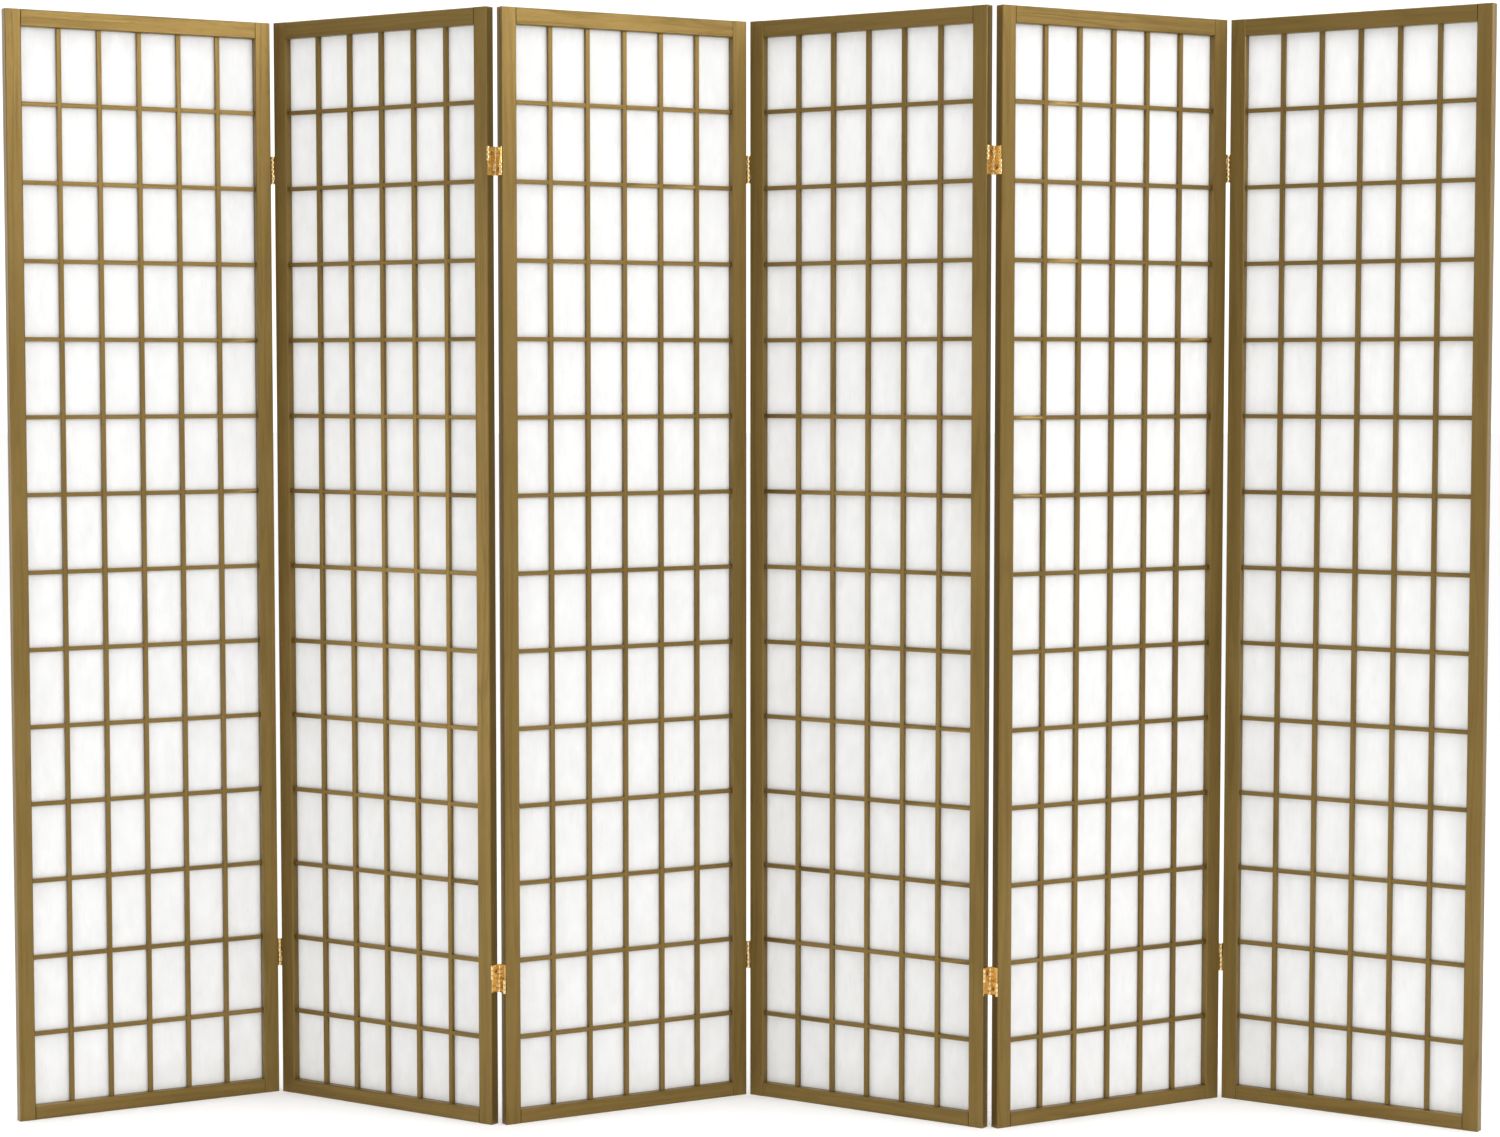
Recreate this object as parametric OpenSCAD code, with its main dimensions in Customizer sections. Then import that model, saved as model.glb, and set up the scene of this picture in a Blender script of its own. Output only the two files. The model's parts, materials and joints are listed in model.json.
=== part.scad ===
/* [Screen] */
// Width of one panel
panel_width = 444.5; // [300:0.5:900]
// Height of one panel
panel_height = 1784.4; // [1200:0.1:2200]
// Thickness of a panel's frame, front to back
panel_thick = 18; // [14:0.5:30]
// Angle between each panel and the line the screen stands along
stand_angle = 31.4; // [5:0.1:60]
// Gap between two neighbouring panel edges when the screen is straight
panel_gap = 5.4; // [4.5:0.1:12]

/* [Frame] */
// Width of the two upright stiles, seen from the front
stile_width = 26.2; // [20:0.1:60]
// Height of the top rail, seen from the front
top_rail_height = 27; // [18:0.5:80]
// Height of the bottom rail, seen from the front
bottom_rail_height = 23; // [18:0.5:120]
// Bevel along the long edges of the stiles and rails
edge_bevel = 1.2; // [0.3:0.1:2.5]
// Length of the rail tenons inside the stiles
tenon_length = 13; // [6:0.5:18]
// Thickness of the rail tenons
tenon_thick = 6; // [4:0.5:8]
// Wood left above and below each tenon
tenon_shoulder = 5; // [3:0.5:7]

/* [Lattice] */
// Number of upright slats across a panel
upright_slats = 5; // [1:1:9]
// Number of cross slats up a panel
cross_slats = 13; // [1:1:20]
// Width of an upright slat, seen from the front
upright_width = 7.3; // [4:0.1:14]
// Height of a cross slat, seen from the front
cross_height = 6.8; // [4:0.1:14]
// How far the front slats lie behind the frame's front face
front_setback = 6.7; // [1:0.1:10]
// Depth of the front slats, front to back
front_depth = 6.7; // [3:0.1:8]
// How far the back slats lie inside the frame's back face
back_setback = 0.5; // [0.2:0.1:5]
// How far each slat end goes into the frame
slat_end = 4; // [2:0.5:8]
// How much shorter the lowest row of panes is than the others
low_row_cut = 5.3; // [0:0.1:20]
// Thickness of the paper sheet
paper_thick = 0.5; // [0.2:0.1:1]
// How far the paper goes into the frame
paper_edge = 4; // [2:0.5:8]

/* [Hinges] */
// Height of a hinge
hinge_height = 45.5; // [36:0.5:90]
// Distance from the panel's top to the top of the upper hinge
hinge_from_top = 219; // [60:1:400]
// Distance from the floor to the bottom of the lower hinge
hinge_from_floor = 214; // [60:1:400]
// Thickness of the leaves screwed to the panel edges
leaf_thick = 1; // [0.6:0.1:1.4]
// Thickness of the crossing link plates
link_thick = 1; // [0.6:0.1:1.6]
// Outside diameter of the hinge barrels
barrel_dia = 4.8; // [4:0.1:5]
// Diameter of the hinge pins
pin_dia = 2; // [1.5:0.1:3]
// How far the pin axes stand outside the panel faces
pin_proud = 0.5; // [0.3:0.1:2]
// Distance of each screw from the middle of its hinge
screw_offset = 12; // [8:0.5:16]
// Diameter of a screw's shank
screw_dia = 2.4; // [2:0.1:3.5]
// Diameter of a screw's flat head
screw_head_dia = 4.8; // [4:0.1:6]
// Length of a screw
screw_length = 14; // [8:0.5:20]
// Diameter of the holes in the links that let a driver reach the screws
driver_hole_dia = 6.4; // [6:0.1:9]

/* [Fits] */
// Gap at glued wood joints
glue_gap = 0.05; // [0.02:0.01:0.2]
// Gap around slat ends and tenons in their mortises
mortise_gap = 0.1; // [0.05:0.01:0.3]
// Radial clearance of a pin in a turning barrel
turn_gap = 0.05; // [0.02:0.01:0.1]
// Radial clearance of a pin in its own leaf's barrels
pin_seat_gap = 0.02; // [0.01:0.01:0.05]
// Clearance between a barrel and a plate that swings past it
swing_gap = 0.3; // [0.2:0.05:0.5]
// End gap between neighbouring barrels
barrel_end_gap = 0.2; // [0.1:0.05:0.4]
// Gap around a screw in the wood and in the leaf
screw_gap = 0.05; // [0.02:0.01:0.15]

/* [Hidden] */
$fn = 32;

gold = [0.66, 0.55, 0.31];
slat_gold = [0.62, 0.52, 0.29];
paper_white = [0.97, 0.97, 0.95];
brass = [0.80, 0.62, 0.28];

panel_count = 6;
pin_span = panel_thick + 2 * pin_proud;
panel_step = (panel_width + panel_gap) * cos(stand_angle) + pin_span * sin(stand_angle);

// Lattice: a deep layer in front of the paper and a thin one behind it, each as [front face, depth]
paper_y = front_setback + front_depth + glue_gap;
back_y = paper_y + paper_thick + glue_gap;
front_layer = [front_setback, front_depth];
back_layer = [back_y, panel_thick - back_setback - back_y];
inner_width = panel_width - 2 * stile_width;
inner_height = panel_height - top_rail_height - bottom_rail_height;
pane_width = (inner_width - upright_slats * upright_width) / (upright_slats + 1);
pane_height = (inner_height - cross_slats * cross_height + low_row_cut) / (cross_slats + 1);
upright_x = [
    for (k = [0:upright_slats - 1]) stile_width + pane_width + k * (pane_width + upright_width)
];
cross_z = [
    for (k = [1:cross_slats]) panel_height - top_rail_height - k * (pane_height + cross_height)
];

// Hinges: one near the top and one near the bottom of each panel edge that has a neighbour
hinge_z = [
    hinge_from_floor + hinge_height / 2,
    panel_height - hinge_from_top - hinge_height / 2
];
barrel_r = barrel_dia / 2;
near_pin_y = -pin_proud;
far_pin_y = panel_thick + pin_proud;
half_gap = panel_gap / 2;
half_split = swing_gap / 2;
barrel_h = (hinge_height / 2 - half_split - 2 * barrel_end_gap) / 3;
barrel_step = barrel_h + barrel_end_gap;
barrel_clear = barrel_r + swing_gap;
leaf_clear = sqrt(max(0, barrel_clear * barrel_clear - pow(half_gap - leaf_thick, 2)));
screw_head_h = (screw_head_dia - screw_dia) / 2;

// Puts a panel, drawn with its front left corner at the origin, in its place in the zigzag
module place(i) {
    translate([(i - (panel_count + 1) / 2) * panel_step, 0, 0])
        rotate([0, 0, i % 2 == 1 ? stand_angle : -stand_angle])
            translate([-panel_width / 2, -panel_thick / 2, 0])
                children();
}

// Section of a stile or rail: a rectangle with its four corners bevelled
module bevelled_section(w, t) {
    b = edge_bevel;
    polygon([[b, 0], [w - b, 0], [w, b], [w, t - b], [w - b, t], [b, t], [0, t - b], [0, b]]);
}

// Repeats its children at each hinge height
module at_hinges() {
    for (z = hinge_z)
        translate([0, 0, z])
            children();
}

// A countersunk wood screw that points along +X from its head's face at the origin
module screw_shape(extra) {
    rotate([0, 90, 0]) {
        cylinder(h = screw_head_h, r1 = screw_head_dia / 2 + extra, r2 = screw_dia / 2 + extra);
        cylinder(h = screw_length + extra, d = screw_dia + 2 * extra);
    }
}

// The two screws of one leaf on a panel's left edge
module leaf_screws(extra) {
    for (side = [-1, 1])
        translate([-leaf_thick, panel_thick / 2, side * screw_offset])
            screw_shape(extra);
}

// A stile with its outer edge at x = 0 and its inner edge towards +X
module stile(hinged) {
    groove = paper_thick + 2 * glue_gap;
    difference() {
        linear_extrude(height = panel_height)
            bevelled_section(stile_width, panel_thick);
        for (layer = [front_layer, back_layer], z = cross_z)
            translate([
                stile_width - slat_end - mortise_gap,
                layer[0] - mortise_gap,
                z - mortise_gap
            ])
                cube([
                    slat_end + 2 * mortise_gap,
                    layer[1] + 2 * mortise_gap,
                    cross_height + 2 * mortise_gap
                ]);
        translate([
            stile_width - paper_edge - mortise_gap,
            paper_y - glue_gap,
            bottom_rail_height - paper_edge - mortise_gap
        ])
            cube([
                paper_edge + 2 * mortise_gap,
                groove,
                inner_height + 2 * paper_edge + 2 * mortise_gap
            ]);
        for (rail = [[0, bottom_rail_height], [panel_height - top_rail_height, top_rail_height]])
            translate([
                stile_width - tenon_length - mortise_gap,
                (panel_thick - tenon_thick) / 2 - mortise_gap,
                rail[0] + tenon_shoulder - mortise_gap
            ])
                cube([
                    tenon_length + 2 * mortise_gap,
                    tenon_thick + 2 * mortise_gap,
                    rail[1] - 2 * tenon_shoulder + 2 * mortise_gap
                ]);
        if (hinged)
            at_hinges()
                leaf_screws(screw_gap);
    }
}

// A rail in its place between the stiles, with its lower edge at z
module rail(z, h, inner_side) {
    groove = paper_thick + 2 * glue_gap;
    inner_z = inner_side > 0 ? z + h : z;
    difference() {
        union() {
            translate([stile_width + glue_gap, 0, z])
                rotate([90, 0, 90])
                    linear_extrude(height = inner_width - 2 * glue_gap)
                        bevelled_section(panel_thick, h);
            translate([
                stile_width - tenon_length,
                (panel_thick - tenon_thick) / 2,
                z + tenon_shoulder
            ])
                cube([inner_width + 2 * tenon_length, tenon_thick, h - 2 * tenon_shoulder]);
        }
        for (layer = [front_layer, back_layer], x = upright_x)
            translate([
                x - mortise_gap,
                layer[0] - mortise_gap,
                inner_z - (slat_end + mortise_gap)
            ])
                cube([
                    upright_width + 2 * mortise_gap,
                    layer[1] + 2 * mortise_gap,
                    2 * (slat_end + mortise_gap)
                ]);
        translate([
            stile_width - tenon_length - mortise_gap,
            paper_y - glue_gap,
            inner_z - (paper_edge + mortise_gap)
        ])
            cube([
                inner_width + 2 * (tenon_length + mortise_gap),
                groove,
                2 * (paper_edge + mortise_gap)
            ]);
    }
}

// An upright slat of one layer, notched behind for each cross slat
module upright_slat(layer, x) {
    difference() {
        translate([x, layer[0], bottom_rail_height - slat_end])
            cube([upright_width, layer[1], inner_height + 2 * slat_end]);
        for (z = cross_z)
            translate([x - 1, layer[0] + layer[1] / 2, z - glue_gap])
                cube([upright_width + 2, layer[1], cross_height + 2 * glue_gap]);
    }
}

// A cross slat of one layer, notched in front for each upright slat
module cross_slat(layer, z) {
    difference() {
        translate([stile_width - slat_end, layer[0], z])
            cube([inner_width + 2 * slat_end, layer[1], cross_height]);
        for (x = upright_x)
            translate([x - glue_gap, layer[0] - layer[1] / 2 + glue_gap, z - 1])
                cube([upright_width + 2 * glue_gap, layer[1], cross_height + 2]);
    }
}

module lattice(layer) {
    for (x = upright_x)
        upright_slat(layer, x);
    for (z = cross_z)
        cross_slat(layer, z);
}

module paper_sheet() {
    translate([
        stile_width - paper_edge,
        paper_y,
        bottom_rail_height - paper_edge
    ])
        cube([inner_width + 2 * paper_edge, paper_thick, inner_height + 2 * paper_edge]);
}

// Height of barrel n (0 to 2) above the middle of the hinge, in the upper half
function barrel_z(n) = half_split + n * barrel_step;

// One barrel with the tab that ties it to a plate from x1 to x2, which lies on side s of the pin
module barrel(pin_y, z, x1, x2, s) {
    translate([0, pin_y, z])
        cylinder(h = barrel_h, r = barrel_r);
    translate([x1, s > 0 ? pin_y : pin_y - barrel_clear - 1, z])
        cube([x2 - x1, barrel_clear + 1, barrel_h]);
}

// The bore of the three barrels on one pin, in the upper half
module barrel_bore(pin_y, gap) {
    translate([0, pin_y, half_split - 1])
        cylinder(h = hinge_height / 2 + 2, r = pin_dia / 2 + gap);
}

// The leaf on a left panel's right edge; the middle of the gap is at x = 0.
// It carries the near pin in its upper half and the far pin in its lower half.
module left_leaf() {
    near_edge = near_pin_y + leaf_clear;
    difference() {
        union() {
            translate([-half_gap, near_edge, -hinge_height / 2])
                cube([leaf_thick, far_pin_y - leaf_clear - near_edge, hinge_height]);
            for (n = [0, 2]) {
                barrel(near_pin_y, barrel_z(n), -half_gap, -half_gap + leaf_thick, 1);
                mirror([0, 0, 1])
                    barrel(far_pin_y, barrel_z(n), -half_gap, -half_gap + leaf_thick, -1);
            }
        }
        barrel_bore(near_pin_y, pin_seat_gap);
        mirror([0, 0, 1])
            barrel_bore(far_pin_y, pin_seat_gap);
        translate([-half_gap, 0, 0])
            mirror([1, 0, 0])
                leaf_screws(screw_gap);
    }
}

// The plate that joins the left leaf's near pin to the right leaf's far pin, in the upper half
module upper_link() {
    difference() {
        union() {
            translate([-link_thick / 2, near_pin_y + barrel_clear, half_split])
                cube([link_thick, pin_span - 2 * barrel_clear, hinge_height / 2 - half_split]);
            barrel(near_pin_y, barrel_z(1), -link_thick / 2, link_thick / 2, 1);
            barrel(far_pin_y, barrel_z(1), -link_thick / 2, link_thick / 2, -1);
        }
        barrel_bore(near_pin_y, turn_gap);
        barrel_bore(far_pin_y, turn_gap);
        translate([-link_thick, panel_thick / 2, screw_offset])
            rotate([0, 90, 0])
                cylinder(h = 2 * link_thick, d = driver_hole_dia);
    }
}

// The left leaf's two pins
module leaf_pins() {
    length = hinge_height / 2 - half_split - barrel_end_gap;
    translate([0, near_pin_y, half_split + barrel_end_gap / 2])
        cylinder(h = length, d = pin_dia);
    mirror([0, 0, 1])
        translate([0, far_pin_y, half_split + barrel_end_gap / 2])
            cylinder(h = length, d = pin_dia);
}

// A wood screw with a cross recess in its head
module screw() {
    recess = 0.45 * screw_head_dia;
    difference() {
        screw_shape(0);
        for (turn = [0, 90])
            rotate([turn, 0, 0])
                translate([-0.5, -recess / 2, -screw_dia / 8])
                    cube([0.5 + screw_head_h / 2, recess, screw_dia / 4]);
    }
}

// The left leaf's two screws
module leaf_screw_pair() {
    for (side = [-1, 1])
        translate([-half_gap + leaf_thick, panel_thick / 2, side * screw_offset])
            mirror([1, 0, 0])
                screw();
}

// Places a left leaf, or what goes with it, on panel i's right edge at each hinge
module on_right_edge(i) {
    if (i < panel_count)
        translate([panel_width + half_gap, 0, 0])
            at_hinges()
                children();
}

// The same piece turned over for panel i's left edge
module on_left_edge(i) {
    if (i > 1)
        translate([-half_gap, 0, 0])
            at_hinges()
                rotate([0, 180, 0])
                    children();
}

// Odd panels swing on the lower links and even panels on the upper ones
module panel_links(i) {
    flip = i % 2 == 1 ? 180 : 0;
    if (i < panel_count)
        translate([panel_width + half_gap, 0, 0])
            at_hinges()
                rotate([0, flip, 0])
                    upper_link();
    if (i > 1)
        translate([-half_gap, 0, 0])
            at_hinges()
                rotate([0, flip, 0])
                    upper_link();
}

module panel_stile_left(i) {
    color(gold)
        place(i)
            stile(i > 1);
}

module panel_stile_right(i) {
    color(gold)
        place(i)
            translate([panel_width, 0, 0])
                mirror([1, 0, 0])
                    stile(i < panel_count);
}

module panel_rail_top(i) {
    color(gold)
        place(i)
            rail(panel_height - top_rail_height, top_rail_height, -1);
}

module panel_rail_bottom(i) {
    color(gold)
        place(i)
            rail(0, bottom_rail_height, 1);
}

module panel_lattice_front(i) {
    color(slat_gold)
        place(i)
            lattice(front_layer);
}

module panel_lattice_back(i) {
    color(slat_gold)
        place(i)
            lattice(back_layer);
}

module panel_paper(i) {
    color(paper_white)
        place(i)
            paper_sheet();
}

module panel_hinge_leaves(i) {
    color(brass)
        place(i) {
            on_right_edge(i)
                left_leaf();
            on_left_edge(i)
                left_leaf();
        }
}

module panel_hinge_links(i) {
    color(brass)
        place(i)
            panel_links(i);
}

module panel_hinge_fasteners(i) {
    color(brass)
        place(i) {
            on_right_edge(i) {
                leaf_pins();
                leaf_screw_pair();
            }
            on_left_edge(i) {
                leaf_pins();
                leaf_screw_pair();
            }
        }
}

for (i = [1:panel_count]) {
    panel_stile_left(i);
    panel_stile_right(i);
    panel_rail_top(i);
    panel_rail_bottom(i);
    panel_lattice_front(i);
    panel_lattice_back(i);
    panel_paper(i);
    panel_hinge_leaves(i);
    panel_hinge_links(i);
    panel_hinge_fasteners(i);
}
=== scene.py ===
"""Looks for a six-panel folding shoji screen: gold painted wood, white paper, brass hinges.

Everything is in metres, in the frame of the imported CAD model, with the floor at z = 0.
"""

import json
import math
from collections import defaultdict

import bpy
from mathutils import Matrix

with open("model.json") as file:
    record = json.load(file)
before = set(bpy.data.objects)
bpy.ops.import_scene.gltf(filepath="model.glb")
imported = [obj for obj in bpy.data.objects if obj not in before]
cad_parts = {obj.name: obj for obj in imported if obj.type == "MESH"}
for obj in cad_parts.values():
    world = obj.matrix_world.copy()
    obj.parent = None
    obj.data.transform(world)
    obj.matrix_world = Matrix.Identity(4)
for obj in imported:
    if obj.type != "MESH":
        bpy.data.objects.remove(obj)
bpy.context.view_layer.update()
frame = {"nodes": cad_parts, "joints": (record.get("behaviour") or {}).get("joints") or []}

MM = 0.001
PANEL_COUNT = 6
PATTERN_SHIFT = 3.0  # the furthest that a pattern moves along each axis from piece to piece

# The panels stand at half the travel that the joints have back to a straight line
STAND_ANGLE = -math.radians(frame["joints"][0]["range_deg"][0]) / 2


def panel_turn(panel):
    """How far a panel is turned about the vertical from the line the screen stands along."""
    return STAND_ANGLE if panel % 2 else -STAND_ANGLE


# ---------------------------------------------------------------- node helpers

class Graph:
    """Short calls for building one material's nodes."""

    def __init__(self, name):
        self.material = bpy.data.materials.new(name)
        self.material.use_nodes = True
        self.tree = self.material.node_tree
        self.tree.nodes.clear()
        self.output = self.node("ShaderNodeOutputMaterial")
        self.shader = self.node("ShaderNodeBsdfPrincipled")
        self.link(self.shader.outputs["BSDF"], self.output.inputs["Surface"])

    def node(self, kind, **settings):
        made = self.tree.nodes.new(kind)
        for key, value in settings.items():
            setattr(made, key, value)
        return made

    def link(self, source, target):
        self.tree.links.new(source, target)

    def put(self, target, value):
        """Links a socket to the target, or sets it as the target's own value."""
        if isinstance(value, bpy.types.NodeSocket):
            self.link(value, target)
        else:
            target.default_value = value

    def math(self, operation, a, b=0.0, clamp=False):
        made = self.node("ShaderNodeMath", operation=operation, use_clamp=clamp)
        self.put(made.inputs[0], a)
        self.put(made.inputs[1], b)
        return made.outputs[0]

    def remap(self, value, low, high, to_low, to_high):
        made = self.node("ShaderNodeMapRange")
        self.put(made.inputs["Value"], value)
        made.inputs["From Min"].default_value = low
        made.inputs["From Max"].default_value = high
        made.inputs["To Min"].default_value = to_low
        made.inputs["To Max"].default_value = to_high
        return made.outputs["Result"]

    def mix(self, share, a, b):
        made = self.node("ShaderNodeMix", data_type="RGBA", blend_type="MIX")
        self.put(made.inputs["Factor"], share)
        self.put(made.inputs["A"], a)
        self.put(made.inputs["B"], b)
        return made.outputs["Result"]

    def noise(self, vector, scale, detail=3.0, roughness=0.5, distortion=0.0):
        made = self.node("ShaderNodeTexNoise")
        self.link(vector, made.inputs["Vector"])
        made.inputs["Scale"].default_value = scale
        made.inputs["Detail"].default_value = detail
        made.inputs["Roughness"].default_value = roughness
        made.inputs["Distortion"].default_value = distortion
        return made.outputs["Fac"]

    def stretched(self, vector, scale, turn=(0.0, 0.0, 0.0)):
        made = self.node("ShaderNodeMapping")
        self.link(vector, made.inputs["Vector"])
        made.inputs["Scale"].default_value = scale
        made.inputs["Rotation"].default_value = turn
        return made.outputs["Vector"]

    def local(self, turn):
        """Coordinates square to a panel, shifted by a different amount on each piece."""
        place = self.node("ShaderNodeTexCoord").outputs["Object"]
        square = self.node("ShaderNodeVectorRotate", rotation_type="Z_AXIS")
        self.link(place, square.inputs["Vector"])
        square.inputs["Angle"].default_value = -turn
        shift = self.node("ShaderNodeVectorMath", operation="ADD")
        random = self.node("ShaderNodeObjectInfo").outputs["Random"]
        amount = self.math("MULTIPLY", random, PATTERN_SHIFT)
        self.link(square.outputs["Vector"], shift.inputs[0])
        self.link(amount, shift.inputs[1])
        return shift.outputs["Vector"]

    def bump(self, height, distance):
        made = self.node("ShaderNodeBump")
        made.inputs["Strength"].default_value = 1.0
        made.inputs["Distance"].default_value = distance
        self.link(height, made.inputs["Height"])
        self.link(made.outputs["Normal"], self.shader.inputs["Normal"])

    def finish(self, colour, roughness, **settings):
        self.put(self.shader.inputs["Base Color"], colour)
        self.put(self.shader.inputs["Roughness"], roughness)
        for key, value in settings.items():
            self.shader.inputs[key.replace("_", " ")].default_value = value
        return self.material


# ------------------------------------------------------------------- materials

GOLD = (0.205, 0.131, 0.034, 1.0)
GOLD_DEEP = (0.136, 0.084, 0.019, 1.0)
GOLD_PALE = (0.265, 0.176, 0.054, 1.0)
PAPER = (0.95, 0.95, 0.947, 1.0)
PAPER_CLOUD = (0.90, 0.90, 0.895, 1.0)
PAPER_FIBRE = (0.84, 0.84, 0.83, 1.0)
BRASS = (0.83, 0.62, 0.30, 1.0)
BRASS_DULL = (0.58, 0.38, 0.14, 1.0)
BRASS_SCREW = (0.80, 0.52, 0.19, 1.0)
FLOOR = (0.955, 0.955, 0.955, 1.0)
FLOOR_CLOUD = (0.945, 0.945, 0.945, 1.0)
WHITE = (1.0, 1.0, 1.0, 1.0)

GOLD_METALLIC = 0.62
GOLD_SPECULAR = 0.3
PAPER_LETS_THROUGH = 0.5
PAPER_IOR = 1.35


def gold_wood(name, turn, grain, coarse):
    """Satin gold paint over open-grained wood; grain is 'Z' or 'X', the way the fibres run."""
    g = Graph(name)
    local = g.local(turn)

    def run(across, along):
        """Stretches a pattern along the fibres; both values are cycles in a metre."""
        upright = (across, across, along)
        lying = (along, across, across)
        return g.stretched(local, upright if grain == "Z" else lying)

    figure = g.noise(run(48.0 * coarse, 2.2), 1.0, detail=1.5, roughness=0.45, distortion=0.6)
    rings = g.math("PINGPONG", g.math("MULTIPLY", figure, 9.0), 1.0)
    rings = g.math("POWER", rings, 2.2)
    fibre = g.noise(run(640.0 * coarse, 16.0), 1.0, detail=2.0, roughness=0.6)
    pores = g.remap(g.noise(run(900.0, 42.0), 1.0, detail=1.0), 0.58, 0.72, 0.0, 1.0)
    cloud = g.noise(local, 5.0, detail=2.0)
    tone = g.mix(g.math("MULTIPLY", rings, 0.62), GOLD, GOLD_DEEP)
    tone = g.mix(g.remap(cloud, 0.35, 0.7, 0.0, 0.35), tone, GOLD_PALE)
    tone = g.mix(g.remap(fibre, 0.45, 0.75, 0.0, 0.3), tone, GOLD_DEEP)
    tone = g.mix(g.math("MULTIPLY", pores, 0.3), tone, GOLD_DEEP)
    rough = g.math("ADD", g.remap(rings, 0.0, 1.0, 0.31, 0.37), g.math("MULTIPLY", pores, 0.06))
    relief = g.math("ADD", g.math("MULTIPLY", rings, 0.9), g.math("MULTIPLY", fibre, 0.5))
    relief = g.math("ADD", relief, g.math("MULTIPLY", pores, 0.5))
    g.bump(g.math("SUBTRACT", 0.0, relief), 0.09 * MM)
    return g.finish(tone, rough, Metallic=GOLD_METALLIC, Specular_IOR_Level=GOLD_SPECULAR)


def fibre_paper(name, turn):
    """White paper of long plant fibres, slightly cloudy, that lets some light through."""
    g = Graph(name)
    local = g.local(turn)
    cloud = g.noise(g.stretched(local, (1.0, 1.0, 0.45)), 55.0, detail=4.0, roughness=0.6)
    layers = []
    for lean, width in ((0.12, 1.0), (-0.35, 0.8), (0.75, 0.7)):
        run = g.stretched(local, (520.0 * width, 1.0, 34.0), turn=(0.0, lean, 0.0))
        layers.append(g.remap(g.noise(run, 1.0, detail=2.0, distortion=0.6), 0.60, 0.78, 0.0, 1.0))
    fibres = g.math("ADD", g.math("ADD", layers[0], layers[1]), layers[2], clamp=True)
    sheet = g.mix(g.remap(cloud, 0.3, 0.7, 0.0, 1.0), PAPER_CLOUD, PAPER)
    sheet = g.mix(g.math("MULTIPLY", fibres, 0.5), sheet, PAPER_FIBRE)
    g.bump(g.math("ADD", fibres, g.math("MULTIPLY", cloud, 0.7)), 0.05 * MM)
    through = g.node("ShaderNodeBsdfTranslucent")
    g.link(sheet, through.inputs["Color"])
    both = g.node("ShaderNodeMixShader")
    both.inputs["Fac"].default_value = PAPER_LETS_THROUGH
    g.link(g.shader.outputs["BSDF"], both.inputs[1])
    g.link(through.outputs["BSDF"], both.inputs[2])
    g.link(both.outputs["Shader"], g.output.inputs["Surface"])
    return g.finish(sheet, 0.85, IOR=PAPER_IOR)


def brass(name, colour, dull, rough):
    """Polished brass plate with faint scratches and a little tarnish."""
    g = Graph(name)
    local = g.local(0.0)
    tarnish = g.remap(g.noise(local, 60.0, detail=3.0), 0.4, 0.75, 0.0, 0.4)
    scratch = g.noise(g.stretched(local, (2600.0, 2600.0, 90.0)), 1.0, detail=1.0)
    tone = g.mix(tarnish, colour, dull)
    g.bump(scratch, 0.004 * MM)
    return g.finish(tone, g.remap(scratch, 0.3, 0.7, rough, rough + 0.12), Metallic=1.0)


materials = {}
for side in (1, 2):
    turn = panel_turn(side)
    materials["stile", side] = gold_wood(f"gold_stile_{side}", turn, "Z", 1.0)
    materials["rail", side] = gold_wood(f"gold_rail_{side}", turn, "X", 1.0)
    materials["upright", side] = gold_wood(f"gold_upright_slat_{side}", turn, "Z", 1.6)
    materials["cross", side] = gold_wood(f"gold_cross_slat_{side}", turn, "X", 1.6)
    materials["paper", side] = fibre_paper(f"fibre_paper_{side}", turn)
materials["hinge"] = brass("hinge_brass", BRASS, BRASS_DULL, 0.16)
materials["fastener"] = brass("fastener_brass", BRASS_SCREW, BRASS_DULL, 0.22)


# ------------------------------------------------------------- the CAD's pieces

SLAT_EDGE = 0.35 * MM
HINGE_EDGE = 0.4 * MM

def dress(obj, *made):
    obj.data.materials.clear()
    for material in made:
        obj.data.materials.append(material)


def loose_parts(mesh):
    """Groups a mesh's polygons into its separate solids, by the corners that they share."""
    parent = {}

    def root(key):
        while parent.setdefault(key, key) != key:
            parent[key] = parent[parent[key]]
            key = parent[key]
        return key

    corner = [tuple(round(c / (0.01 * MM)) for c in v.co) for v in mesh.vertices]
    for polygon in mesh.polygons:
        first = root(corner[polygon.vertices[0]])
        for v in polygon.vertices[1:]:
            parent[root(corner[v])] = first
    groups = defaultdict(list)
    for polygon in mesh.polygons:
        groups[root(corner[polygon.vertices[0]])].append(polygon)
    return groups.values()


def grain_by_slat(obj):
    """Gives upright slats the first material and cross slats the second."""
    mesh = obj.data
    for polygons in loose_parts(mesh):
        heights = [mesh.vertices[v].co.z for p in polygons for v in p.vertices]
        lying = max(heights) - min(heights) < 100 * MM
        for polygon in polygons:
            polygon.material_index = int(lying)


def soften(obj, width, segments=1):
    """Rounds a CAD piece's sharp edges a little, with modifiers only."""
    weld = obj.modifiers.new("weld", "WELD")
    weld.merge_threshold = 0.005 * MM
    flat = obj.modifiers.new("flat", "DECIMATE")
    flat.decimate_type = "DISSOLVE"
    flat.angle_limit = math.radians(0.4)
    flat.delimit = {"MATERIAL"}
    edge = obj.modifiers.new("edge", "BEVEL")
    edge.width = width
    edge.segments = segments
    edge.limit_method = "ANGLE"
    edge.angle_limit = math.radians(40)
    edge.harden_normals = True


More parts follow.
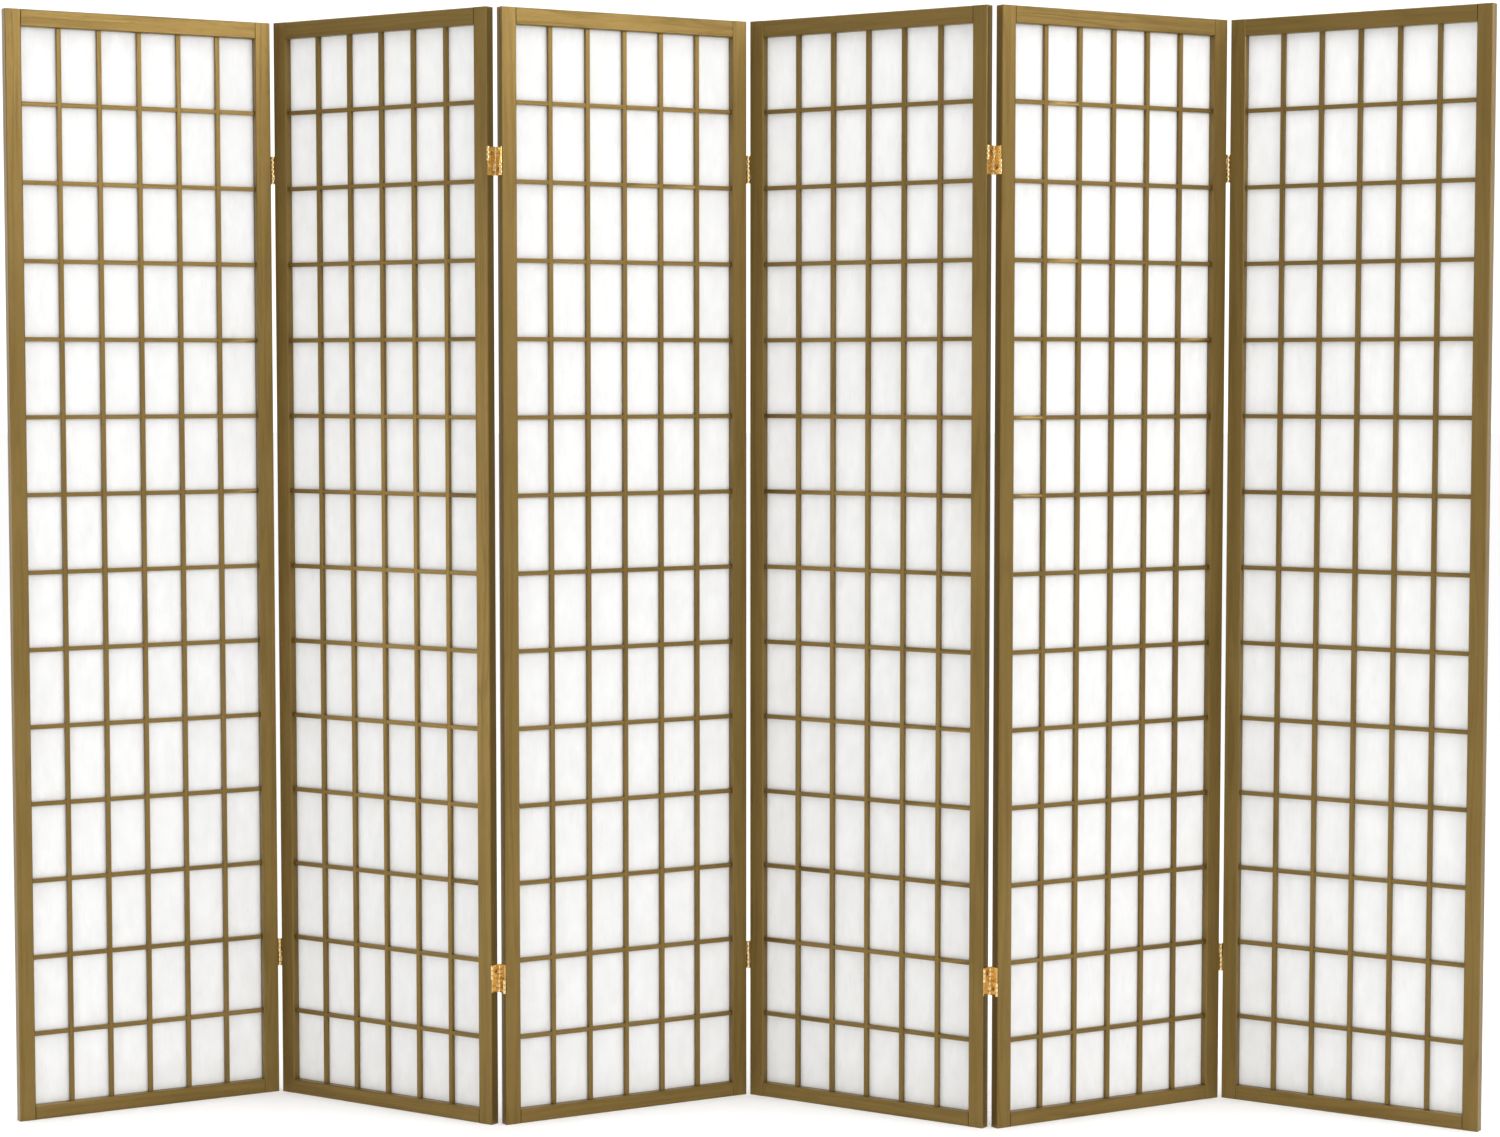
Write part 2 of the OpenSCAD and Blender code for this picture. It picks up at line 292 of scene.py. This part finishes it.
for panel in range(1, PANEL_COUNT + 1):
    side = 1 if panel % 2 else 2
    node = {part: frame["nodes"][f"panel_{panel}_{part}"] for part in (
        "stile_left", "stile_right", "rail_top", "rail_bottom", "lattice_front",
        "lattice_back", "paper", "hinge_leaves", "hinge_links", "hinge_fasteners",
    )}
    for part in ("stile_left", "stile_right"):
        dress(node[part], materials["stile", side])
    for part in ("rail_top", "rail_bottom"):
        dress(node[part], materials["rail", side])
    for part in ("lattice_front", "lattice_back"):
        dress(node[part], materials["upright", side], materials["cross", side])
        grain_by_slat(node[part])
        soften(node[part], SLAT_EDGE)
    dress(node["paper"], materials["paper", side])
    for part in ("hinge_leaves", "hinge_links"):
        dress(node[part], materials["hinge"])
        soften(node[part], HINGE_EDGE, 2)
    dress(node["hinge_fasteners"], materials["fastener"])


# ------------------------------------------------------ floor, light and camera

FLOOR_HALF = 60.0
CAMERA_PLACE = (0.15897, -5.12683, 1.20571)
CAMERA_DIP = 0.06138  # radians below level
CAMERA_YAW = 0.02981  # radians to the left of the screen's square-on view
CAMERA_LENS_MM = 75.81
CAMERA_SENSOR_MM = 36.0
WORLD_FRONT, WORLD_BACK = 0.64, 1.2  # strength before and behind the screen

# Each softbox: name, place, target, width, height, power in watts
SOFTBOXES = (
    ("key", (3.8, -4.3, 3.6), (0.0, 0.0, 1.2), 2.6, 2.6, 70.0),
    ("strip", (4.5, -2.9, 3.0), (0.0, 0.0, 1.4), 3.2, 0.9, 48.0),
    ("fill", (-2.6, -0.9, 0.8), (-0.6, 0.0, 0.7), 1.0, 1.4, 5.8),
    ("overhead", (0.0, -1.2, 4.4), (0.0, -0.6, 0.0), 4.5, 2.4, 62.0),
)

def floor():
    half = FLOOR_HALF
    mesh = bpy.data.meshes.new("floor")
    corners = [(-half, -half, 0), (half, -half, 0), (half, half, 0), (-half, half, 0)]
    mesh.from_pydata(corners, [], [(0, 1, 2, 3)])
    made = bpy.data.objects.new("floor", mesh)
    bpy.context.scene.collection.objects.link(made)
    g = Graph("pale_floor")
    place = g.node("ShaderNodeTexCoord").outputs["Object"]
    tone = g.mix(g.noise(place, 1.5), FLOOR_CLOUD, FLOOR)
    # A faint glow of its own keeps the far floor as white as the backdrop
    g.shader.inputs["Emission Color"].default_value = WHITE
    dress(made, g.finish(tone, 0.9, Emission_Strength=0.09))


def softbox(name, place, target, width, height, power):
    data = bpy.data.lights.new(name, "AREA")
    data.shape = "RECTANGLE"
    data.size, data.size_y = width, height
    data.energy = power
    made = bpy.data.objects.new(name, data)
    bpy.context.scene.collection.objects.link(made)
    made.location = place
    aim = [t - p for t, p in zip(target, place)]
    made.rotation_euler = (
        math.atan2(math.hypot(aim[0], aim[1]), -aim[2]), 0, math.atan2(-aim[0], aim[1])
    )


def studio_world():
    world = bpy.data.worlds.new("studio")
    world.use_nodes = True
    tree = world.node_tree
    background = tree.nodes["Background"]
    direction = tree.nodes.new("ShaderNodeTexCoord").outputs["Generated"]
    parts = tree.nodes.new("ShaderNodeSeparateXYZ")
    ramp = tree.nodes.new("ShaderNodeMapRange")
    tree.links.new(direction, parts.inputs["Vector"])
    tree.links.new(parts.outputs["Y"], ramp.inputs["Value"])
    ramp.inputs["From Min"].default_value = -0.5
    ramp.inputs["From Max"].default_value = 0.5
    ramp.inputs["To Min"].default_value = WORLD_FRONT
    ramp.inputs["To Max"].default_value = WORLD_BACK
    tree.links.new(ramp.outputs["Result"], background.inputs["Strength"])
    background.inputs["Color"].default_value = WHITE
    bpy.context.scene.world = world


def camera():
    data = bpy.data.cameras.new("camera")
    data.sensor_width = CAMERA_SENSOR_MM
    data.lens = CAMERA_LENS_MM
    made = bpy.data.objects.new("camera", data)
    bpy.context.scene.collection.objects.link(made)
    made.location = CAMERA_PLACE
    made.rotation_euler = (math.pi / 2 - CAMERA_DIP, 0.0, CAMERA_YAW)
    bpy.context.scene.camera = made


floor()
studio_world()
for box in SOFTBOXES:
    softbox(*box)
camera()
bpy.context.scene.view_settings.view_transform = "Standard"
